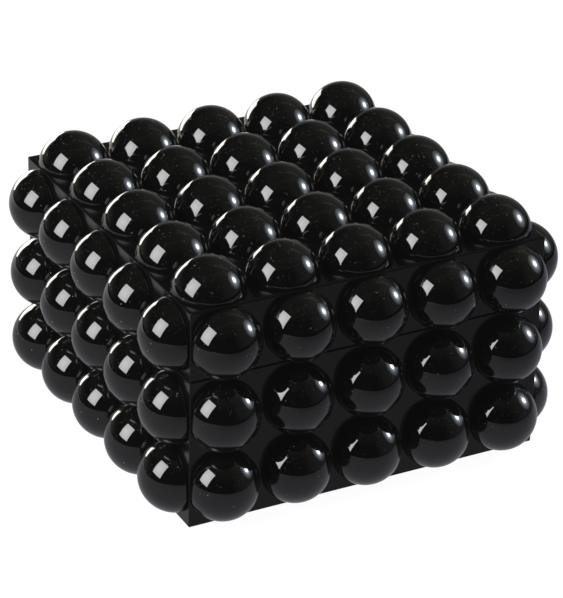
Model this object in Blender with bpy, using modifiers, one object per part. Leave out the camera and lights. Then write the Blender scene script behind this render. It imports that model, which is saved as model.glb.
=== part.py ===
"""Square desk box with a lift-off lid, covered on its top and four sides with glossy half-ball domes.

Frame: metres, +Z up, origin at the centre of the resting face, front of the box towards -Y.
Each board, lining and dome group is its own object. A dome's local +Z is the outward normal of its face,
and its local z = 0 is the face that it is bonded to.
"""

import math

import bmesh
import bpy
from mathutils import Matrix

# Driving dimensions.
BOX_SIDE = 0.200          # outer side of the square box, without the domes
BASE_HEIGHT = 0.0824      # resting face to the parting plane between base and lid
LID_HEIGHT = 0.0382       # parting plane to the top face of the lid
WALL = 0.008              # thickness of the base walls, the lid rails and the lid's top panel
FLOOR = 0.006             # thickness of the base's floor panel
GAP = 0.0003              # clearance between neighbouring pieces
PARTING_GAP = 0.0005      # visible line between base and lid
EDGE_EASE = 0.0006        # eased edge of the top panel and the pads

# Domes: slightly less than half of a ball, five to a row.
DOME_RADIUS = 0.0191      # ball radius
DOME_SINK = 0.0015        # depth of the ball's centre below the face it is bonded to
DOMES_PER_ROW = 5
TOP_PITCH = 0.0406        # centre to centre on the lid's top
SIDE_PITCH = 0.0405       # centre to centre along a side
LID_ROW_DROP = 0.0198     # lid's top face down to the centre of the lid's side row
UPPER_ROW_DROP = 0.0603   # lid's top face down to the base's upper side row
LOWER_ROW_DROP = 0.0999   # lid's top face down to the base's lower side row
DOME_FOOT = 0.0016        # radius of the rounded foot under each dome
DOME_ARC_STEPS = 4        # facets from the pole to the foot
DOME_FOOT_STEPS = 2       # facets round the foot
DOME_TURN_STEPS = 16      # facets round the dome

# Bonding strip that ties the five domes of a side row together.
STRIP_THICK = 0.0006
STRIP_HEIGHT = 0.010

# Lining, locating strips and underside pad.
LOCATOR_THICK = 0.0025    # strips inside the base walls that stand up into the lid
LOCATOR_RISE = 0.006      # how far the locating strips stand above the parting plane
PAD_THICK = 0.0016        # lining pads in the lid and on the floor
FELT_THICK = 0.0015       # pad that the box stands on
FELT_PROUD = 0.0005       # how far the felt stands below the base walls

# Levels and half widths that follow from the above.
HALF = BOX_SIDE / 2
TOP_Z = BASE_HEIGHT + LID_HEIGHT
LID_BOTTOM_Z = BASE_HEIGHT + PARTING_GAP
RAIL_TOP_Z = TOP_Z - WALL - GAP
FLOOR_BOTTOM_Z = FELT_THICK + GAP
FLOOR_TOP_Z = FLOOR_BOTTOM_Z + FLOOR
INSIDE_HALF = HALF - WALL - GAP
LINED_HALF = INSIDE_HALF - LOCATOR_THICK - GAP

# Faces in turning order about +Z, each a quarter turn on from the one before.
FACES = ("front", "right", "back", "left")
ROW_LETTERS = "abcde"     # rows of top domes, from the front to the back

COLLECTION = "domed_desk_box"
CUTTERS = "cutters"


def clear_scene():
    """Remove every object and every collection that the file opened with."""
    for obj in list(bpy.data.objects):
        bpy.data.objects.remove(obj, do_unlink=True)
    for collection in list(bpy.data.collections):
        bpy.data.collections.remove(collection)


def add_collection(name):
    """Add a collection to the scene and return it."""
    collection = bpy.data.collections.new(name)
    bpy.context.scene.collection.children.link(collection)
    return collection


def add_material(name, colour, roughness):
    """Return a Principled material of one colour; nothing on the box is metal."""
    material = bpy.data.materials.new(name)
    material.use_nodes = True
    shader = material.node_tree.nodes["Principled BSDF"]
    shader.inputs["Base Color"].default_value = (*colour, 1.0)
    shader.inputs["Roughness"].default_value = roughness
    shader.inputs["Metallic"].default_value = 0.0
    material.diffuse_color = (*colour, 1.0)
    return material


def add_object(name, mesh, material, placement, collection):
    """Add an object that shows the mesh at the placement, a 4x4 matrix."""
    obj = bpy.data.objects.new(name, mesh)
    obj.matrix_world = placement
    if material and material.name not in mesh.materials:
        mesh.materials.append(material)
    collection.objects.link(obj)
    return obj


def face_turn(face):
    """Rotation about +Z that carries the front of the box to the named face."""
    return Matrix.Rotation(FACES.index(face) * math.pi / 2, 4, "Z")


def mesh_from_bmesh(name, bm):
    """Write the bmesh to a new mesh and free it."""
    bmesh.ops.recalc_face_normals(bm, faces=bm.faces)
    mesh = bpy.data.meshes.new(name)
    bm.to_mesh(mesh)
    bm.free()
    return mesh


def slab_mesh(name, size, eased=None):
    """A rectangular slab centred on its origin. eased says which edges are rounded off: top or all."""
    bm = bmesh.new()
    bmesh.ops.create_cube(bm, size=1.0)
    bmesh.ops.scale(bm, vec=size, verts=bm.verts)
    edges = []
    if eased == "all":
        edges = list(bm.edges)
    if eased == "top":
        edges = [e for e in bm.edges if all(v.co.z > 0 for v in e.verts)]
    if edges:
        bmesh.ops.bevel(bm, geom=edges, offset=EDGE_EASE, segments=1, affect="EDGES", profile=0.5)
    return mesh_from_bmesh(name, bm)


def mitred_board_mesh(name, outer_half, thick, height):
    """A board along X whose ends are mitred at 45 degrees, so that four of them close into a square ring.

    The outer side faces -Y at y = -outer_half, and the lower edge is at z = 0. Each mitre keeps half of GAP.
    """
    end = outer_half - GAP / 2
    bm = bmesh.new()
    bmesh.ops.create_cube(bm, size=1.0)
    for v in bm.verts:
        inside = v.co.y > 0
        reach = end - thick if inside else end
        v.co.x = math.copysign(reach, v.co.x)
        v.co.y = -outer_half + (thick if inside else 0.0)
        v.co.z = height if v.co.z > 0 else 0.0
    return mesh_from_bmesh(name, bm)


def dome_profile_mesh(name, seat):
    """Half outline of a dome in the XZ plane: down the outer arc, round the foot, then in along its flat seat."""
    foot_z = seat + DOME_FOOT
    reach = DOME_RADIUS - DOME_FOOT
    end = math.asin((foot_z + DOME_SINK) / reach)
    foot_x = reach * math.cos(end)
    points = []
    for step in range(DOME_ARC_STEPS + 1):
        angle = math.pi / 2 + (end - math.pi / 2) * step / DOME_ARC_STEPS
        radius = 0.0 if step == 0 else DOME_RADIUS * math.cos(angle)
        points.append((radius, 0.0, DOME_RADIUS * math.sin(angle) - DOME_SINK))
    for step in range(1, DOME_FOOT_STEPS + 1):
        angle = end - (end + math.pi / 2) * step / DOME_FOOT_STEPS
        points.append((foot_x + DOME_FOOT * math.cos(angle), 0.0, foot_z + DOME_FOOT * math.sin(angle)))
    points.append((0.0, 0.0, seat))
    edges = [(i, i + 1) for i in range(len(points) - 1)]
    mesh = bpy.data.meshes.new(name)
    mesh.from_pydata(points, edges, [])
    return mesh


def dome_mesh(name, seat, collection):
    """The dome as a mesh, turned from its half outline by a Screw. seat is the height of its flat side."""
    guide = add_object(name + "_guide", dome_profile_mesh(name + "_outline", seat), None,
                       Matrix.Identity(4), collection)
    screw = guide.modifiers.new("turn", "SCREW")
    screw.axis = "Z"
    screw.angle = 2 * math.pi
    screw.steps = DOME_TURN_STEPS
    screw.render_steps = DOME_TURN_STEPS
    screw.use_merge_vertices = True
    screw.merge_threshold = 0.00001
    mesh = evaluated_mesh(guide, name)
    bpy.data.objects.remove(guide, do_unlink=True)
    return mesh


def evaluated_mesh(obj, name):
    """The object's mesh with its modifiers applied, as a new mesh shaded smooth up to 40 degrees."""
    bpy.context.view_layer.update()
    evaluated = obj.evaluated_get(bpy.context.evaluated_depsgraph_get())
    mesh = bpy.data.meshes.new_from_object(evaluated)
    mesh.name = name
    mesh.shade_smooth()
    mesh.set_sharp_from_angle(angle=math.radians(40))
    return mesh


def dome_row_mesh(name, collection):
    """Five domes along X, joined into one body by the bonding strip behind them."""
    seat = GAP + STRIP_THICK / 2
    single = dome_mesh("row_dome", seat, collection)
    domes = add_object("row_dome_cutter", single, None, Matrix.Translation((-2 * SIDE_PITCH, 0, 0)), collection)
    domes.hide_render = True
    domes.display_type = "WIRE"
    repeat = domes.modifiers.new("repeat", "ARRAY")
    repeat.count = DOMES_PER_ROW
    repeat.use_relative_offset = False
    repeat.use_constant_offset = True
    repeat.constant_offset_displace = (SIDE_PITCH, 0, 0)

    length = (DOMES_PER_ROW - 1) * SIDE_PITCH
    strip = slab_mesh(name + "_strip", (length, STRIP_HEIGHT, STRIP_THICK))
    row = add_object(name, strip, None, Matrix.Translation((0, 0, GAP + STRIP_THICK / 2)), collection)
    join = row.modifiers.new("join", "BOOLEAN")
    join.operation = "UNION"
    join.solver = "EXACT"
    join.object = domes
    mesh = evaluated_mesh(row, name)
    mesh.transform(row.matrix_world)
    bpy.data.objects.remove(row, do_unlink=True)
    return mesh


def add_ring(name, outer_half, thick, low_z, high_z, material, collection):
    """Four mitred boards that close into a square ring. name holds a place for the face."""
    mesh = mitred_board_mesh(name.format("board"), outer_half, thick, high_z - low_z)
    for face in FACES:
        placement = Matrix.Translation((0, 0, low_z)) @ face_turn(face)
        add_object(name.format(face), mesh, material, placement, collection)


def add_slab(name, half, low_z, high_z, material, eased, collection):
    """A square panel or pad between two levels."""
    mesh = slab_mesh(name, (2 * half, 2 * half, high_z - low_z), eased)
    placement = Matrix.Translation((0, 0, (low_z + high_z) / 2))
    return add_object(name, mesh, material, placement, collection)


def add_base(lacquer, lining, felt, collection):
    """Floor, walls, locating strips, floor lining and the felt underneath."""
    add_slab("base_floor_panel", INSIDE_HALF, FLOOR_BOTTOM_Z, FLOOR_TOP_Z, lacquer, None, collection)
    add_ring("base_wall_{}", HALF, WALL, FELT_PROUD, BASE_HEIGHT, lacquer, collection)
    add_ring("base_locating_strip_{}", INSIDE_HALF, LOCATOR_THICK, FLOOR_TOP_Z + GAP,
             BASE_HEIGHT + LOCATOR_RISE, lacquer, collection)
    pad_low = FLOOR_TOP_Z + GAP
    add_slab("base_lining", LINED_HALF, pad_low, pad_low + PAD_THICK, lining, "all", collection)
    add_slab("base_felt", INSIDE_HALF, 0.0, FELT_THICK, felt, None, collection)


def add_lid(lacquer, lining, collection):
    """Top panel, side rails and the lining pad under the panel."""
    add_slab("lid_top_panel", HALF, TOP_Z - WALL, TOP_Z, lacquer, "top", collection)
    add_ring("lid_rail_{}", HALF, WALL, LID_BOTTOM_Z, RAIL_TOP_Z, lacquer, collection)
    pad_high = TOP_Z - WALL - GAP
    add_slab("lid_lining", INSIDE_HALF, pad_high - PAD_THICK, pad_high, lining, "all", collection)


def add_top_domes(gloss, collection, cutters):
    """Twenty-five separate domes on the lid: row a is the front row, and column 1 is on the left."""
    mesh = dome_mesh("top_dome", GAP, cutters)
    middle = (DOMES_PER_ROW - 1) / 2
    for row, letter in enumerate(ROW_LETTERS):
        for column in range(DOMES_PER_ROW):
            place = Matrix.Translation(((column - middle) * TOP_PITCH, (row - middle) * TOP_PITCH, TOP_Z))
            add_object(f"lid_top_dome_{letter}{column + 1}", mesh, gloss, place, collection)


def add_side_domes(gloss, collection, cutters):
    """Three rows of five domes on each side: one on the lid and two on the base."""
    mesh = dome_row_mesh("dome_row", cutters)
    upright = Matrix.Rotation(math.pi / 2, 4, "X")
    rows = (
        ("lid_dome_row_{}", LID_ROW_DROP),
        ("base_dome_row_upper_{}", UPPER_ROW_DROP),
        ("base_dome_row_lower_{}", LOWER_ROW_DROP),
    )
    for name, drop in rows:
        for face in FACES:
            place = face_turn(face) @ Matrix.Translation((0, -HALF, TOP_Z - drop)) @ upright
            add_object(name.format(face), mesh, gloss, place, collection)


def build():
    """Model the whole box."""
    clear_scene()
    collection = add_collection(COLLECTION)
    cutters = add_collection(CUTTERS)
    lacquer = add_material("black_lacquer", (0.012, 0.012, 0.011), 0.12)
    gloss = add_material("black_dome_gloss", (0.004, 0.004, 0.0035), 0.04)
    lining = add_material("lining_fabric", (0.010, 0.010, 0.011), 0.95)
    felt = add_material("underside_felt", (0.014, 0.014, 0.014), 1.0)
    add_base(lacquer, lining, felt, collection)
    add_lid(lacquer, lining, collection)
    add_top_domes(gloss, collection, cutters)
    add_side_domes(gloss, collection, cutters)
    bpy.context.view_layer.update()


build()
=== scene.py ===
"""Looks for the domed black desk box: polished domes, lacquered boards, lining, felt, light and camera."""

import math
import random

import bmesh
import bpy
from mathutils import Matrix, Vector


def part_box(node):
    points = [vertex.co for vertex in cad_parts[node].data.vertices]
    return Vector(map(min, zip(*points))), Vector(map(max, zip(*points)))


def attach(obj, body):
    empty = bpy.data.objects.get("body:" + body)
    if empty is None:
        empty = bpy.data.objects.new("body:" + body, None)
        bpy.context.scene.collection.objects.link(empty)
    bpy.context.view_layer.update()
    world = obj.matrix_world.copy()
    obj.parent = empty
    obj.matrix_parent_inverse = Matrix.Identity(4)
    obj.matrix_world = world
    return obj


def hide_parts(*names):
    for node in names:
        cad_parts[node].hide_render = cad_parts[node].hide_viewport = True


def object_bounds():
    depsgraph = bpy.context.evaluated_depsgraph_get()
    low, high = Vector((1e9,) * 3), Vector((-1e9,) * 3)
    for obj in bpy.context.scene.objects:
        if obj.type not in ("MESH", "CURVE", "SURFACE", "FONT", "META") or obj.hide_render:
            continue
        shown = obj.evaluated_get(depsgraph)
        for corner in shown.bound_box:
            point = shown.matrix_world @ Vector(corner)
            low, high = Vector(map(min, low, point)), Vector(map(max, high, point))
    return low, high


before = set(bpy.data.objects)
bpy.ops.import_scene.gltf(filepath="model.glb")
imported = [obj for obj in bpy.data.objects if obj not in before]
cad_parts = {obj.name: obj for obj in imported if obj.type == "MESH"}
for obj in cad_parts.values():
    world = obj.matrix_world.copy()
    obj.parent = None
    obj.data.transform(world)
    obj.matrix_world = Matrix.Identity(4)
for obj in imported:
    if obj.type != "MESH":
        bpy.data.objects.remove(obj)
CAD_LOW, CAD_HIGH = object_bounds()

MM = 0.001
WHITE = (1.0, 1.0, 1.0, 1.0)

# The CAD's faces, in turning order about +Z, and its rows of top domes from front to back.
FACES = ("front", "right", "back", "left")
ROW_LETTERS = "abcde"
DOMES_PER_ROW = 5
SIDE_ROWS = ("lid_dome_row", "base_dome_row_upper", "base_dome_row_lower")

# Camera: the photograph's viewing angle, a long lens from the front left, a little above.
CAMERA_PLACE = Vector((-0.6019, -1.1299, 0.7225))
CAMERA_AZIMUTH = -28.14
CAMERA_ELEVATION = 27.37
CAMERA_ROLL = 1.44
CAMERA_LENS = 163.4
SENSOR_WIDTH = 36.0
CLIP_START, CLIP_END = 0.01, 60.0


# ---------------------------------------------------------------- node helpers

# The mix node's colour sockets, which share their names with its number and vector sockets.
MIX_COLOUR_A, MIX_COLOUR_B, MIX_COLOUR_RESULT = 6, 7, 2


class Nodes:
    """A short way to write a node tree: add a node with its inputs set, and link sockets."""

    def __init__(self, tree):
        self.tree = tree
        tree.nodes.clear()

    def add(self, kind, settings=None, **inputs):
        """Add a node. settings holds its properties; each input is a socket to link or a value to set."""
        node = self.tree.nodes.new(kind)
        for key, value in (settings or {}).items():
            setattr(node, key, value)
        for key, value in inputs.items():
            self.feed(node.inputs[key.replace("_", " ")], value)
        return node

    def feed(self, socket, value):
        """Link a socket to the input, or set the input's value."""
        if isinstance(value, bpy.types.NodeSocket):
            self.tree.links.new(value, socket)
        else:
            socket.default_value = value

    def math(self, operation, a, b):
        """A math node's result."""
        node = self.add("ShaderNodeMath", {"operation": operation})
        self.feed(node.inputs[0], a)
        self.feed(node.inputs[1], b)
        return node.outputs[0]

    def vector_math(self, operation, a, b):
        """A vector math node's vector."""
        node = self.add("ShaderNodeVectorMath", {"operation": operation})
        self.feed(node.inputs[0], a)
        self.feed(node.inputs[1], b)
        return node.outputs["Vector"]

    def length(self, vector):
        """The length of a vector."""
        node = self.add("ShaderNodeVectorMath", {"operation": "LENGTH"})
        self.feed(node.inputs[0], vector)
        return node.outputs["Value"]

    def add_where(self, value, mask, amount):
        """The value, plus the amount where the mask is 1."""
        return self.math("ADD", value, self.math("MULTIPLY", mask, amount))

    def smooth(self, value, low, high, to_low=0.0, to_high=1.0):
        """The value eased from low..high to to_low..to_high."""
        node = self.add("ShaderNodeMapRange", {"interpolation_type": "SMOOTHSTEP"})
        self.feed(node.inputs["Value"], value)
        self.feed(node.inputs["From Min"], low)
        self.feed(node.inputs["From Max"], high)
        self.feed(node.inputs["To Min"], to_low)
        self.feed(node.inputs["To Max"], to_high)
        return node.outputs["Result"]

    def mix_colour(self, factor, a, b, blend="MIX"):
        """Colour a where factor is 0, blended with colour b where it is 1."""
        node = self.add("ShaderNodeMix", {"data_type": "RGBA", "blend_type": blend})
        self.feed(node.inputs["Factor"], factor)
        self.feed(node.inputs[MIX_COLOUR_A], a)
        self.feed(node.inputs[MIX_COLOUR_B], b)
        return node.outputs[MIX_COLOUR_RESULT]

    def mix_shader(self, factor, a, b):
        """Shader a where factor is 0 and b where it is 1."""
        node = self.add("ShaderNodeMixShader")
        for socket, value in zip(node.inputs, (factor, a, b)):
            self.feed(socket, value)
        return node.outputs[0]

    def noise(self, vector, scale, detail=2.0, roughness=0.5):
        """A noise texture's value, near 0.5 on average. scale is in cells per metre."""
        node = self.add("ShaderNodeTexNoise", Vector=vector, Scale=scale, Detail=detail, Roughness=roughness)
        return node.outputs["Fac"]

    def bump(self, height, distance, normal=None):
        """A normal bent by the height, whose full step is distance metres."""
        node = self.add("ShaderNodeBump", Height=height, Distance=distance, Strength=1.0)
        if normal is not None:
            self.feed(node.inputs["Normal"], normal)
        return node.outputs["Normal"]


def new_material(name):
    """A node material and its Nodes helper."""
    material = bpy.data.materials.new(name)
    material.use_nodes = True
    return material, Nodes(material.node_tree)


PATTERN_SHIFT = 7.0   # metres by which pieces' patterns may lie apart


def piece_vector(nodes, stretch=(1.0, 1.0, 1.0)):
    """Object coordinates, shifted by each piece's own random number so that no two pieces match."""
    coordinates = nodes.add("ShaderNodeTexCoord").outputs["Object"]
    chance = nodes.add("ShaderNodeObjectInfo").outputs["Random"]
    moved = nodes.vector_math("ADD", coordinates, nodes.math("MULTIPLY", chance, PATTERN_SHIFT))
    return nodes.add("ShaderNodeMapping", Vector=moved, Scale=stretch).outputs[0]


def dust_mask(nodes, vector, cell, share, spot):
    """1 on small specks. cell is their spacing, share how many cells hold one and spot its radius."""
    cells = nodes.add("ShaderNodeTexVoronoi", {"feature": "F1"}, Vector=vector, Scale=1.0 / cell,
                      Randomness=1.0)
    near = nodes.math("LESS_THAN", cells.outputs["Distance"], spot / cell)
    split = nodes.add("ShaderNodeSeparateColor")
    nodes.feed(split.inputs[0], cells.outputs["Color"])
    chosen = nodes.math("LESS_THAN", split.outputs[0], share)
    return nodes.math("MULTIPLY", near, chosen)


def upward_share(nodes, low, high):
    """How far a surface faces up, eased from 0 at normal height low to 1 at high."""
    normal = nodes.add("ShaderNodeNewGeometry").outputs["Normal"]
    split = nodes.add("ShaderNodeSeparateXYZ", Vector=normal)
    return nodes.smooth(split.outputs["Z"], low, high)


# ---------------------------------------------------------------- materials

DOME_BLACK = (0.0010, 0.0010, 0.0010, 1.0)
LACQUER_BLACK = (0.0016, 0.0016, 0.0016, 1.0)
DUST_GREY = (0.40, 0.39, 0.36, 1.0)
DUST_ROUGHNESS = 0.6
GLOSS_IOR = 1.5
SECOND_BLUR = 0.22   # roughness of a dome as its neighbours mirror it


def dome_material():
    """Polished black half-ball: mirror gloss, a trace of polishing waviness, hair scratches and dust."""
    material, nodes = new_material("dome_gloss_black")
    vector = piece_vector(nodes)
    wave = nodes.noise(vector, scale=90.0, detail=1.0)
    drawn_out = piece_vector(nodes, stretch=(60.0, 900.0, 260.0))
    hairs = nodes.noise(drawn_out, scale=1.0, detail=3.0, roughness=0.6)
    hair_line = nodes.smooth(hairs, low=0.66, high=0.74)
    specks = dust_mask(nodes, vector, cell=2.8 * MM, share=0.34, spot=0.19 * MM)
    lint = dust_mask(nodes, vector, cell=0.9 * MM, share=0.42, spot=0.095 * MM)
    settled_lint = nodes.math("MULTIPLY", lint, upward_share(nodes, low=-0.1, high=0.9))
    settled = nodes.math("MAXIMUM", specks, settled_lint)
    smear = nodes.smooth(nodes.noise(vector, scale=55.0, detail=3.0, roughness=0.6), low=0.45, high=0.75)
    roughness = nodes.add_where(0.012, smear, 0.018)
    roughness = nodes.add_where(roughness, hair_line, 0.05)
    roughness = nodes.add_where(roughness, settled, DUST_ROUGHNESS)
    in_reflection = nodes.add("ShaderNodeLightPath").outputs["Is Glossy Ray"]
    roughness = nodes.math("MAXIMUM", roughness, nodes.math("MULTIPLY", in_reflection, SECOND_BLUR))
    polished = nodes.bump(wave, distance=0.012 * MM)
    shader = nodes.add("ShaderNodeBsdfPrincipled", Roughness=roughness, IOR=GLOSS_IOR,
                       Base_Color=nodes.mix_colour(settled, DOME_BLACK, DUST_GREY),
                       Normal=nodes.bump(settled, distance=0.05 * MM, normal=polished),
                       Sheen_Weight=0.025, Sheen_Roughness=0.3)
    nodes.add("ShaderNodeOutputMaterial", Surface=shader.outputs[0])
    return material


def lacquer_material():
    """Black lacquer over board: glossy with a soft orange-peel, a little dust and rubbed haze."""
    material, nodes = new_material("lacquer_black")
    vector = piece_vector(nodes)
    peel = nodes.noise(vector, scale=420.0)
    swell = nodes.noise(vector, scale=60.0)
    haze = nodes.smooth(nodes.noise(vector, scale=38.0, detail=4.0, roughness=0.65), low=0.35, high=0.8)
    dust = dust_mask(nodes, vector, cell=2.4 * MM, share=0.22, spot=0.14 * MM)
    settled = nodes.math("MULTIPLY", dust, upward_share(nodes, low=0.1, high=0.9))
    roughness = nodes.add_where(0.10, haze, 0.06)
    roughness = nodes.add_where(roughness, settled, DUST_ROUGHNESS)
    swollen = nodes.bump(swell, distance=0.02 * MM)
    shader = nodes.add("ShaderNodeBsdfPrincipled", Roughness=roughness, IOR=GLOSS_IOR,
                       Base_Color=nodes.mix_colour(settled, LACQUER_BLACK, DUST_GREY),
                       Normal=nodes.bump(peel, distance=0.004 * MM, normal=swollen),
                       Specular_IOR_Level=0.22)
    nodes.add("ShaderNodeOutputMaterial", Surface=shader.outputs[0])
    return material


def cloth_material(name, shaded_deep, tip, thread, depth):
    """Short-pile cloth: tangled fibres, patchy nap, painted shade in the pile's hollows and a soft sheen.

    deep and tip are the greys in and on the pile, deep darkened by painted shade in the hollows; thread the
    fibres' spacing, depth the pile's relief.
    """
    material, nodes = new_material(name)
    vector = piece_vector(nodes)
    fibres = nodes.noise(vector, scale=1.0 / thread, detail=4.0, roughness=0.7)
    combed = piece_vector(nodes, stretch=(1.0, 5.0, 1.0))
    strands = nodes.noise(combed, scale=0.4 / thread, detail=3.0, roughness=0.65)
    nap = nodes.smooth(nodes.noise(vector, scale=26.0, detail=3.0, roughness=0.6), low=0.3, high=0.7)
    pile = nodes.add_where(nodes.math("MULTIPLY", fibres, 0.6), strands, 0.4)
    nap_shade = nodes.smooth(nap, low=0.0, high=1.0, to_low=0.7, to_high=1.0)
    # Painted shade: the colour darkens where the pile is low, times the nap's random patches.
    shade = nodes.math("MULTIPLY", nodes.smooth(pile, low=0.35, high=0.68), nap_shade)
    shader = nodes.add("ShaderNodeBsdfPrincipled", Roughness=0.95,
                       Base_Color=nodes.mix_colour(shade, grey(shaded_deep), grey(tip)),
                       Normal=nodes.bump(pile, distance=depth),
                       Sheen_Weight=0.35, Sheen_Roughness=0.5)
    nodes.add("ShaderNodeOutputMaterial", Surface=shader.outputs[0])
    return material


def grey(level):
    """An opaque grey."""
    return (level, level, level, 1.0)


# ---------------------------------------------------------------- mesh helpers

def add_piece(name, mesh, material, body, node, placement=None):
    """Show the mesh as one piece that rides on a body and stands for a CAD node, which it may share."""
    piece = bpy.data.objects.new(name, mesh)
    if placement is not None:
        piece.matrix_world = placement
    bpy.context.scene.collection.objects.link(piece)
    if not mesh.materials:   # the domes share one mesh
        mesh.materials.append(material)
    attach(piece, body)
    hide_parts(node)
    return piece


MERGE_DISTANCE = 1e-7
SHORTEST_EDGE = 1e-8
BOARD_SHARP_ANGLE = 50.0   # degrees between faces from which an edge is kept crisp
SOFT_SHARP_ANGLE = 60.0    # the same for domes and pads


def mesh_from_rings(name, rings):
    """Skin a stack of equal closed rings of points, and cap both ends."""
    bm = bmesh.new()
    loops = [[bm.verts.new(point) for point in ring] for ring in rings]
    count = len(loops[0])
    for lower, upper in zip(loops, loops[1:]):
        for i in range(count):
            j = (i + 1) % count
            bm.faces.new((lower[i], lower[j], upper[j], upper[i]))
    bm.faces.new(loops[0][::-1])
    bm.faces.new(loops[-1])
    return finish_mesh(name, bm, BOARD_SHARP_ANGLE)


def finish_mesh(name, bm, sharp_angle):
    """Merge doubled points, point the faces outwards, and shade smooth up to the sharp angle."""
    bmesh.ops.remove_doubles(bm, verts=bm.verts, dist=MERGE_DISTANCE)
    bmesh.ops.dissolve_degenerate(bm, edges=bm.edges, dist=SHORTEST_EDGE)
    bmesh.ops.recalc_face_normals(bm, faces=bm.faces)
    mesh = bpy.data.meshes.new(name)
    bm.to_mesh(mesh)
    bm.free()
    mesh.shade_smooth()
    mesh.set_sharp_from_angle(angle=math.radians(sharp_angle))
    return mesh


LARGE_FACES_WIN = 100   # the modifier's strongest weighting


def keep_flats_flat(piece):
    """Weight the shading normals by face area, so that a small rounded edge doesn't bend a wide flat."""
    weighted = piece.modifiers.new("flats", "WEIGHTED_NORMAL")
    weighted.mode = "FACE_AREA"
    weighted.weight = LARGE_FACES_WIN
    weighted.keep_sharp = True


# ---------------------------------------------------------------- domes

DOME_TURN_STEPS = 96
DOME_ARC_STEPS = 34
FOOT_STEPS = 6
BALL_RADIUS = 19.1 * MM
FOOT_RADIUS = 1.6 * MM   # rounded lower rim of each half-ball
SEAT_CLEARANCE = 0.02 * MM   # between a dome's flat seat and the board


def dome_profile(radius, sink):
    """Half outline of a dome from the pole to its seat, as (distance from the axis, height) pairs.

    The ball's centre is sink below the face, and the lower rim is rounded off.
    """
    foot_height = SEAT_CLEARANCE + FOOT_RADIUS
    inner_radius = radius - FOOT_RADIUS
    foot_axis = math.sqrt(inner_radius ** 2 - (foot_height + sink) ** 2)
    end = math.asin((foot_height + sink) / inner_radius)
    outline = []
    for step in range(DOME_ARC_STEPS + 1):
        angle = math.pi / 2 + (end - math.pi / 2) * step / DOME_ARC_STEPS
        outline.append((radius * math.cos(angle), radius * math.sin(angle) - sink))
    for step in range(1, FOOT_STEPS + 1):
        angle = end - (end + math.pi / 2) * step / FOOT_STEPS
        reach = foot_axis + FOOT_RADIUS * math.cos(angle)
        outline.append((reach, foot_height + FOOT_RADIUS * math.sin(angle)))
    return outline


def dome_mesh(name, radius, sink):
    """A half-ball turned about +Z, with its seat just above z = 0."""
    profile = dome_profile(radius, sink)[1:]
    bm = bmesh.new()
    pole = bm.verts.new((0.0, 0.0, radius - sink))
    rings = []
    for reach, height in profile:
        ring = []
        for step in range(DOME_TURN_STEPS):
            angle = 2 * math.pi * step / DOME_TURN_STEPS
            ring.append(bm.verts.new((reach * math.cos(angle), reach * math.sin(angle), height)))
        rings.append(ring)
    for i in range(DOME_TURN_STEPS):
        j = (i + 1) % DOME_TURN_STEPS
        bm.faces.new((pole, rings[0][i], rings[0][j]))
        for upper, lower in zip(rings, rings[1:]):
            bm.faces.new((upper[i], lower[i], lower[j], upper[j]))
    bm.faces.new(rings[-1][::-1])
    return finish_mesh(name, bm, SOFT_SHARP_ANGLE)


def face_matrix(face):
    """Turn about +Z that carries the front of the box to the named face."""
    return Matrix.Rotation(FACES.index(face) * math.pi / 2, 4, "Z")


def make_domes(material):
    """Eighty-five separate domes on the centres of the CAD's domes."""
    panel_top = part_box("lid_top_panel")[1].z
    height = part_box("lid_top_dome_c3")[1].z - panel_top
    mesh = dome_mesh("dome", BALL_RADIUS, BALL_RADIUS - height)
    for letter in ROW_LETTERS:
        for column in range(1, DOMES_PER_ROW + 1):
            node = f"lid_top_dome_{letter}{column}"
            low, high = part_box(node)
            middle = (low + high) / 2
            place = Matrix.Translation((middle.x, middle.y, panel_top))
            add_piece(f"top_dome_{letter}{column}", mesh, material, "lid", node, place)
    for row in SIDE_ROWS:
        body = row.split("_")[0]
        for face in FACES:
            node = f"{row}_{face}"
            make_side_row(node, face, body, mesh, material)


def make_side_row(node, face, body, mesh, material):
    """Five domes on one side, spread over the length of the CAD's row."""
    low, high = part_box(node)
    turn = face_matrix(face)
    to_front = turn.inverted()
    a, b = to_front @ low, to_front @ high
    left, right = min(a.x, b.x), max(a.x, b.x)
    dome_radius = (high.z - low.z) / 2
    pitch = (right - left - 2 * dome_radius) / (DOMES_PER_ROW - 1)
    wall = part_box(f"base_wall_{face}")
    outer = -max(abs(v) for corner in wall for v in (to_front @ corner).xy)
    for index in range(DOMES_PER_ROW):
        spot = Vector((left + dome_radius + index * pitch, outer, (low.z + high.z) / 2))
        place = turn @ Matrix.Translation(spot) @ Matrix.Rotation(math.pi / 2, 4, "X")
        add_piece(f"{node}_{index + 1}", mesh, material, body, node, place)


# ---------------------------------------------------------------- boards and pads

CORNER_ROUND = 0.6 * MM     # vertical corners of the lacquered box
EDGE_ROUND = 0.5 * MM       # lower and upper rims of the boards
TOP_EDGE_ROUND = 1.1 * MM   # upper rim of the lid
SHARPEST_CORNER = 0.02 * MM
ARC_STEPS = 5


def quarter_turn():
    """Angles from 0 to a right angle, in even steps."""
    return [math.pi / 2 * step / ARC_STEPS for step in range(ARC_STEPS + 1)]


def board_section(thick, low, high, round_low, round_high):
    """Section of a board as (depth behind the outer face, height) pairs, its outer rims rounded."""
    section = [(thick, low), (thick, high)]
    if round_high:
        for angle in quarter_turn():
            section.append((EDGE_ROUND * (1 - math.sin(angle)), high - EDGE_ROUND * (1 - math.cos(angle))))
    else:
        section.append((0.0, high))
    if round_low:
        for angle in quarter_turn():
            section.append((EDGE_ROUND * (1 - math.cos(angle)), low + EDGE_ROUND * (1 - math.sin(angle))))
    else:
        section.append((0.0, low))
    return section


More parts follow.
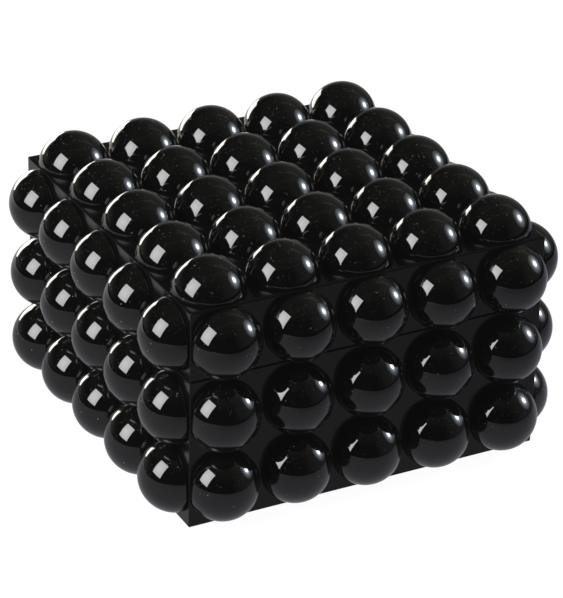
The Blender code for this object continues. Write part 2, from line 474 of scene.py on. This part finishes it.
def board_mesh(name, outer_half, section):
    """One side of a square ring: the section swept along X, round half of the corner at each end."""
    def station(side, angle):
        ring = []
        for depth, height in section:
            arc = max(CORNER_ROUND - depth, 0.0)
            centre = outer_half - max(CORNER_ROUND, depth)
            ring.append((side * (centre + math.sin(angle) * arc), -centre - math.cos(angle) * arc, height))
        return ring

    steps = [math.pi / 4 * i / ARC_STEPS for i in range(ARC_STEPS + 1)]
    rings = [station(-1, angle) for angle in reversed(steps)] + [station(1, angle) for angle in steps]
    return mesh_from_rings(name, rings)


def make_ring(stem, lacquer, body, section, outer_half):
    """Four boards that close into a ring, each standing for its own CAD board."""
    for face in FACES:
        node = f"{stem}_{face}"
        mesh = board_mesh(node, outer_half, section)
        mesh.transform(face_matrix(face))
        keep_flats_flat(add_piece(f"{node}_board", mesh, lacquer, body, node))


def rounded_square(half, corner, z):
    """Points of a square with rounded corners at one level."""
    points = []
    for quarter in range(4):
        for step in range(ARC_STEPS + 1):
            angle = math.pi / 2 * (quarter + step / ARC_STEPS)
            turn = math.pi / 4 + math.pi / 2 * quarter
            centre = Vector((math.cos(turn), math.sin(turn))) * math.sqrt(2) * (half - corner)
            points.append((centre.x + corner * math.cos(angle), centre.y + corner * math.sin(angle), z))
    return points


def top_panel_mesh(half, low, high):
    """The lid's panel: square lower edge against the rails, rounded upper rim."""
    rings = [rounded_square(half, CORNER_ROUND, low)]
    for angle in quarter_turn():
        inset = TOP_EDGE_ROUND * (1 - math.cos(angle))
        level = high - TOP_EDGE_ROUND * (1 - math.sin(angle))
        rings.append(rounded_square(half - inset, max(CORNER_ROUND - inset, SHARPEST_CORNER), level))
    return mesh_from_rings("lid_top_panel_board", rings)


PAD_CELLS = 60
PAD_ROLL = 4 * MM            # width over which a pad's rim rolls over
PAD_RIM_SHARE = 0.35         # a pad's thickness at its rim, of its full thickness
RIPPLES = 5
RIPPLE_PITCH = (20, 70)      # radians per metre
RIPPLE_PHASE = (0, 6.28)
RIPPLE_SEED = 42


def pad_ripple():
    """A gentle random swell over a pad, as a function of x and y between -1 and 1."""
    rng = random.Random(RIPPLE_SEED)
    waves = [(rng.uniform(*RIPPLE_PITCH), rng.uniform(*RIPPLE_PITCH), rng.uniform(*RIPPLE_PHASE))
             for _ in range(RIPPLES)]

    def ripple(x, y):
        return sum(math.sin(a * x + p) * math.sin(b * y - p) for a, b, p in waves) / len(waves)

    return ripple


def pad_mesh(name, half, low, high, crown, faces_down=False):
    """A pad, flat where it is glued, rolled over at its rim and gently rippled.

    crown is the share of its thickness that ripples.
    """
    thick = high - low
    glued = high if faces_down else low
    ripple = pad_ripple()
    bm = bmesh.new()
    bmesh.ops.create_grid(bm, x_segments=PAD_CELLS, y_segments=PAD_CELLS, size=half)
    for v in bm.verts:
        edge = min(half - abs(v.co.x), half - abs(v.co.y))
        share = min(max(edge / PAD_ROLL, 0.0), 1.0)
        lift = math.sqrt(1 - (1 - share) ** 2)
        rolled = thick * (PAD_RIM_SHARE + (1 - PAD_RIM_SHARE - crown) * lift)
        level = rolled + crown * thick * (0.5 + 0.5 * ripple(v.co.x, v.co.y)) * lift
        v.co.z = high - level if faces_down else low + level
    rim = [e for e in bm.edges if e.is_boundary]
    skirt = bmesh.ops.extrude_edge_only(bm, edges=rim)["geom"]
    for v in skirt:
        if isinstance(v, bmesh.types.BMVert):
            v.co.z = glued
    bmesh.ops.holes_fill(bm, edges=[e for e in bm.edges if e.is_boundary], sides=0)
    return finish_mesh(name, bm, SOFT_SHARP_ANGLE)


def make_boards(lacquer):
    """Lid panel and rails, base walls, locating strips and floor."""
    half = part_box("lid_top_panel")[1].x
    panel_low, panel_high = (corner.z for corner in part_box("lid_top_panel"))
    panel_mesh = top_panel_mesh(half, panel_low, panel_high)
    keep_flats_flat(add_piece("lid_panel", panel_mesh, lacquer, "lid", "lid_top_panel"))

    rail_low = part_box("lid_rail_front")[0].z
    wall_low, wall_high = (corner.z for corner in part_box("base_wall_front"))
    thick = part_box("base_wall_front")[1].y + half
    rail = board_section(thick, rail_low, panel_low, round_low=True, round_high=False)
    make_ring("lid_rail", lacquer, "lid", rail, half)
    wall = board_section(thick, wall_low, wall_high, round_low=True, round_high=True)
    make_ring("base_wall", lacquer, "base", wall, half)

    low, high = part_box("base_locating_strip_front")
    strip = board_section(high.y - low.y, low.z, high.z, round_low=False, round_high=True)
    make_ring("base_locating_strip", lacquer, "base", strip, -low.y)

    low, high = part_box("base_floor_panel")
    rings = [rounded_square(high.x, CORNER_ROUND, z) for z in (low.z, high.z)]
    floor_mesh = mesh_from_rings("base_floor_board", rings)
    add_piece("base_floor_board", floor_mesh, lacquer, "base", "base_floor_panel")


LINING_CROWN = 0.2
FELT_CROWN = 0.05


def make_pad(node, name, material, body, crown, faces_down=False):
    """A pad in the place of its CAD node."""
    low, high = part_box(node)
    add_piece(name, pad_mesh(name, high.x, low.z, high.z, crown, faces_down), material, body, node)


def make_pads(lining, felt):
    """Lining pads on the floor and in the lid, and the felt underneath."""
    make_pad("base_lining", "base_lining_pad", lining, "base", LINING_CROWN)
    make_pad("lid_lining", "lid_lining_pad", lining, "lid", LINING_CROWN, faces_down=True)
    make_pad("base_felt", "underside_felt_pad", felt, "base", FELT_CROWN, faces_down=True)


# ---------------------------------------------------------------- stage

FLOOR_HALF = 12.0
FLOOR_DROP = 0.05 * MM       # below the felt
FLOOR_GLOW = 0.97            # the floor's own white, as the camera sees it
FLOOR_ALBEDO = 0.08          # its share of the lamps' light, for a trace of shadow

# The table top that the gloss mirrors, a glow carrying painted lamp light: where its edges lie, and its
# painted light from left to right.
TABLE_LEFT, TABLE_RIGHT = -0.78, 0.85
TABLE_FRONT, TABLE_BACK = -0.66, 1.6
TABLE_EDGE_SOFTNESS = 0.02
LIT_LEFT_TONE = (0.50, 0.495, 0.50, 1.0)
LIT_MIDDLE_TONE = (0.255, 0.252, 0.275, 1.0)
LIT_RIGHT_TONE = (0.285, 0.285, 0.35, 1.0)
BEHIND_TONE = (0.95, 0.94, 0.90, 1.0)
BEYOND_TONE = (0.004, 0.004, 0.004, 1.0)
NEAR_LIGHT_GAIN, FAR_LIGHT_GAIN = 1.7, 0.97   # painted light: the table glows brighter close to the box


def make_floor():
    """A plain pale floor, mirrored in the gloss as a white table top in a dim room."""
    bm = bmesh.new()
    bmesh.ops.create_grid(bm, x_segments=1, y_segments=1, size=FLOOR_HALF)
    mesh = bpy.data.meshes.new("floor")
    bm.to_mesh(mesh)
    bm.free()
    mesh.materials.append(floor_material())
    floor = bpy.data.objects.new("floor", mesh)
    floor.location.z = CAD_LOW.z - FLOOR_DROP
    bpy.context.scene.collection.objects.link(floor)


def floor_material():
    """Pale and faintly shaded for the camera; for every other ray the table top, a glow with painted lamp
    light.
    """
    material, nodes = new_material("pale_floor")
    tone, gain = painted_table_light(nodes)
    # The table as reflections see it: a glow carrying painted lamp light.
    mirrored = nodes.add("ShaderNodeEmission", Color=tone, Strength=gain)
    glow = nodes.add("ShaderNodeEmission", Color=WHITE, Strength=FLOOR_GLOW)
    shade = nodes.add("ShaderNodeBsdfDiffuse", Color=grey(FLOOR_ALBEDO))
    seen = nodes.add("ShaderNodeAddShader")
    nodes.feed(seen.inputs[0], glow.outputs[0])
    nodes.feed(seen.inputs[1], shade.outputs[0])
    both = nodes.mix_shader(camera_ray(nodes), mirrored.outputs[0], seen.outputs[0])
    nodes.add("ShaderNodeOutputMaterial", Surface=both)
    return material


def painted_table_light(nodes):
    """The table's painted light, as tone and gain, at a point of the floor, dark beyond its edges."""
    place = nodes.add("ShaderNodeNewGeometry").outputs["Position"]
    split = nodes.add("ShaderNodeSeparateXYZ", Vector=place)
    x, y = split.outputs["X"], split.outputs["Y"]
    # Painted lamp light: brightest on the left, by the softbox.
    tone = nodes.mix_colour(nodes.smooth(x, low=-0.55, high=-0.05), LIT_LEFT_TONE, LIT_MIDDLE_TONE)
    tone = nodes.mix_colour(nodes.smooth(x, low=0.0, high=0.5), tone, LIT_RIGHT_TONE)
    tone = nodes.mix_colour(nodes.smooth(y, low=0.15, high=0.6), tone, BEHIND_TONE)
    inside = nodes.math("MULTIPLY", nodes.smooth(x, TABLE_LEFT, TABLE_LEFT + TABLE_EDGE_SOFTNESS),
                        nodes.smooth(x, TABLE_RIGHT, TABLE_RIGHT - TABLE_EDGE_SOFTNESS))
    inside = nodes.math("MULTIPLY", inside, nodes.smooth(y, TABLE_FRONT, TABLE_FRONT + TABLE_EDGE_SOFTNESS))
    inside = nodes.math("MULTIPLY", inside, nodes.smooth(y, TABLE_BACK, TABLE_BACK - TABLE_EDGE_SOFTNESS))
    # Painted light: brighter near the box.
    gain = nodes.smooth(nodes.length(place), low=0.10, high=0.50, to_low=NEAR_LIGHT_GAIN, to_high=FAR_LIGHT_GAIN)
    return nodes.mix_colour(inside, BEYOND_TONE, tone), gain


def camera_ray(nodes):
    """1 for the camera's own rays, 0 for reflections."""
    return nodes.add("ShaderNodeLightPath").outputs["Is Camera Ray"]


# The room that the gloss mirrors: dark in front, olive overhead and on the right, pale behind.
ROOM_DARK = (0.006, 0.006, 0.006, 1.0)
ROOM_OVERHEAD = (0.075, 0.076, 0.063, 1.0)
ROOM_RIGHT = (0.165, 0.168, 0.156, 1.0)
ROOM_BEHIND = (0.28, 0.275, 0.25, 1.0)
STREAK_TURN = 28.0                  # degrees, so that the streaks run across the picture
STREAK_SCALE = (0.45, 6.0, 1.0)     # long one way and narrow the other
BETWEEN_STREAKS = (0.80, 0.80, 0.80, 1.0)
ON_STREAK = (2.1, 2.1, 1.8, 1.0)
LOWEST_CEILING = 0.05               # direction height that keeps the ceiling plane finite


def ceiling_streaks(nodes, direction, height):
    """Straight faint streaks far overhead, 0 between them and 1 on them."""
    ceiling = nodes.vector_math("DIVIDE", direction, nodes.math("MAXIMUM", height, LOWEST_CEILING))
    bands = nodes.add("ShaderNodeMapping", Vector=ceiling, Rotation=(0.0, 0.0, math.radians(STREAK_TURN)),
                      Scale=STREAK_SCALE)
    noise = nodes.noise(bands.outputs[0], scale=1.0, detail=3.0, roughness=0.6)
    streak = nodes.smooth(noise, low=0.50, high=0.66)
    return nodes.math("MULTIPLY", streak, nodes.smooth(height, low=0.25, high=0.6))


def room_tone(nodes):
    """The room's tone by the direction of a reflected ray."""
    direction = nodes.add("ShaderNodeTexCoord").outputs["Generated"]
    split = nodes.add("ShaderNodeSeparateXYZ", Vector=direction)
    height = split.outputs["Z"]
    room = nodes.mix_colour(nodes.smooth(height, low=0.5, high=0.95), ROOM_DARK, ROOM_OVERHEAD)
    room = nodes.mix_colour(nodes.smooth(split.outputs["X"], low=0.0, high=0.8), room, ROOM_RIGHT, "ADD")
    low_down = nodes.math("SUBTRACT", 1.0, nodes.smooth(height, low=0.02, high=0.45))
    behind = nodes.math("MULTIPLY", nodes.smooth(split.outputs["Y"], low=0.3, high=0.9), low_down)
    room = nodes.mix_colour(behind, room, ROOM_BEHIND, "ADD")
    streaks = nodes.mix_colour(ceiling_streaks(nodes, direction, height), BETWEEN_STREAKS, ON_STREAK)
    return nodes.mix_colour(1.0, room, streaks, "MULTIPLY")


def make_world():
    """White behind the object for the camera, and the room for every reflection."""
    world = bpy.data.worlds.new("studio")
    bpy.context.scene.world = world
    world.use_nodes = True
    nodes = Nodes(world.node_tree)
    white = nodes.add("ShaderNodeBackground", Color=WHITE, Strength=1.0)
    room = nodes.add("ShaderNodeBackground", Color=room_tone(nodes), Strength=1.0)
    both = nodes.mix_shader(camera_ray(nodes), room.outputs[0], white.outputs[0])
    nodes.add("ShaderNodeOutputWorld", Surface=both)


LIGHT_AIM = Vector((0.0, 0.0, 0.10))

SOFTBOX_PLACE = Vector((-0.982, -0.127, 0.618))
SOFTBOX_AIM = Vector((-0.088, 0.236, 0.056))
SOFTBOX_SIZE = (0.648, 0.786)
SOFTBOX_ROLL = -15.6
SOFTBOX_RADIANCE = 13.3

DISH_AZIMUTH, DISH_ELEVATION, DISH_DISTANCE = 76, 24, 2.0
DISH_SIZE = (1.6, 1.6)
DISH_RADIANCE = 38.0

PANEL_AZIMUTH, PANEL_ELEVATION, PANEL_DISTANCE = -174, 2, 1.3
PANEL_SIZE = (0.70, 0.58)
PANEL_ROLL = 38.0
PANEL_RADIANCE = 8.5
CREAM = (1.0, 0.98, 0.89)

# How a lamp fades from its middle outwards, as (distance from the middle, share of its radiance, colour).
SOFTBOX_FADE = ((0.0, 1.0, WHITE),
                (0.7, 0.78, (0.98, 0.99, 1.0, 1.0)))
DISH_FADE = ((0.07, 1.0, (0.96, 0.98, 1.0, 1.0)),
             (0.17, 0.15, (0.84, 0.91, 1.0, 1.0)),
             (0.31, 0.044, (0.74, 0.85, 1.0, 1.0)),
             (0.50, 0.0, (0.72, 0.84, 1.0, 1.0)))


def light_place(azimuth, elevation, distance):
    """A point seen from the object at an azimuth (0 in front, 90 to the right) and elevation, in degrees."""
    a, e = math.radians(azimuth), math.radians(elevation)
    return LIGHT_AIM + distance * Vector((math.sin(a) * math.cos(e), -math.cos(a) * math.cos(e), math.sin(e)))


def add_light(name, place, size, radiance, colour=WHITE[:3], shape="RECTANGLE", roll=0.0, aim=LIGHT_AIM):
    """An area light turned to face the aim. radiance is its brightness as a reflection shows it."""
    data = bpy.data.lights.new(name, "AREA")
    data.shape = shape
    data.size, data.size_y = size
    area = size[0] * size[1] * (math.pi / 4 if shape == "DISK" else 1.0)
    data.energy = radiance * area * math.pi   # an even lamp's watts, for that radiance
    data.color = colour
    light = bpy.data.objects.new(name, data)
    facing = (aim - place).normalized().to_track_quat("-Z", "Y").to_matrix().to_4x4()
    light.matrix_world = Matrix.Translation(place) @ facing @ Matrix.Rotation(math.radians(roll), 4, "Z")
    light.visible_camera = False
    bpy.context.scene.collection.objects.link(light)
    return data


def fade_light(data, stops):
    """Vary a light from its middle outwards, through the stops."""
    data.use_nodes = True
    nodes = Nodes(data.node_tree)
    spot = nodes.add("ShaderNodeNewGeometry").outputs["Parametric"]
    distance = nodes.length(nodes.vector_math("SUBTRACT", spot, (0.5, 0.5, 0.0)))
    _, share, colour = stops[0]
    for (near, _, _), (far, next_share, next_colour) in zip(stops, stops[1:]):
        blend = nodes.smooth(distance, near, far)
        colour = nodes.mix_colour(blend, colour, next_colour)
        kept = nodes.math("MULTIPLY", share, nodes.math("SUBTRACT", 1.0, blend))
        share = nodes.add_where(kept, blend, next_share)
    emission = nodes.add("ShaderNodeEmission", Color=colour, Strength=share)
    nodes.add("ShaderNodeOutputLight", Surface=emission.outputs[0])


def make_lights():
    """A square softbox on the left, a soft round dish on the right and a cream panel behind."""
    softbox = add_light("softbox", SOFTBOX_PLACE, SOFTBOX_SIZE, SOFTBOX_RADIANCE, roll=SOFTBOX_ROLL,
                        aim=SOFTBOX_AIM)
    fade_light(softbox, SOFTBOX_FADE)
    dish = add_light("dish", light_place(DISH_AZIMUTH, DISH_ELEVATION, DISH_DISTANCE), DISH_SIZE,
                     DISH_RADIANCE, shape="DISK")
    fade_light(dish, DISH_FADE)
    add_light("cream_panel", light_place(PANEL_AZIMUTH, PANEL_ELEVATION, PANEL_DISTANCE), PANEL_SIZE,
              PANEL_RADIANCE, CREAM, roll=PANEL_ROLL)


def make_camera():
    """The camera at the photograph's viewing angle."""
    azimuth, elevation = math.radians(CAMERA_AZIMUTH), math.radians(CAMERA_ELEVATION)
    forward = Vector((-math.sin(azimuth) * math.cos(elevation), math.cos(azimuth) * math.cos(elevation),
                      -math.sin(elevation)))
    level = Vector((forward.y, -forward.x, 0.0)).normalized()
    upright = level.cross(forward)
    roll = math.radians(CAMERA_ROLL)
    right = math.cos(roll) * level + math.sin(roll) * upright
    up = -math.sin(roll) * level + math.cos(roll) * upright
    data = bpy.data.cameras.new("camera")
    data.lens = CAMERA_LENS
    data.sensor_width = SENSOR_WIDTH
    data.clip_start = CLIP_START
    data.clip_end = CLIP_END
    camera = bpy.data.objects.new("camera", data)
    turn = Matrix((right, up, -forward)).transposed().to_4x4()
    camera.matrix_world = Matrix.Translation(CAMERA_PLACE) @ turn
    bpy.context.scene.collection.objects.link(camera)
    bpy.context.scene.camera = camera


BLACK_LIFT = 0.0031   # the photograph's blacks are lifted by this much light


def set_tone():
    """Plain sRGB output whose blacks are lifted a little, as in the photograph."""
    view = bpy.context.scene.view_settings
    view.view_transform = "Standard"
    view.use_curve_mapping = True
    view.curve_mapping.black_level = 3 * (-BLACK_LIFT,)
    view.curve_mapping.update()


lacquer = lacquer_material()
lining = cloth_material("lining_cloth", shaded_deep=0.006, tip=0.022, thread=0.35 * MM, depth=0.12 * MM)
felt = cloth_material("underside_felt", shaded_deep=0.008, tip=0.03, thread=0.5 * MM, depth=0.25 * MM)
make_domes(dome_material())
make_boards(lacquer)
make_pads(lining, felt)
make_floor()
make_world()
make_lights()
make_camera()
set_tone()
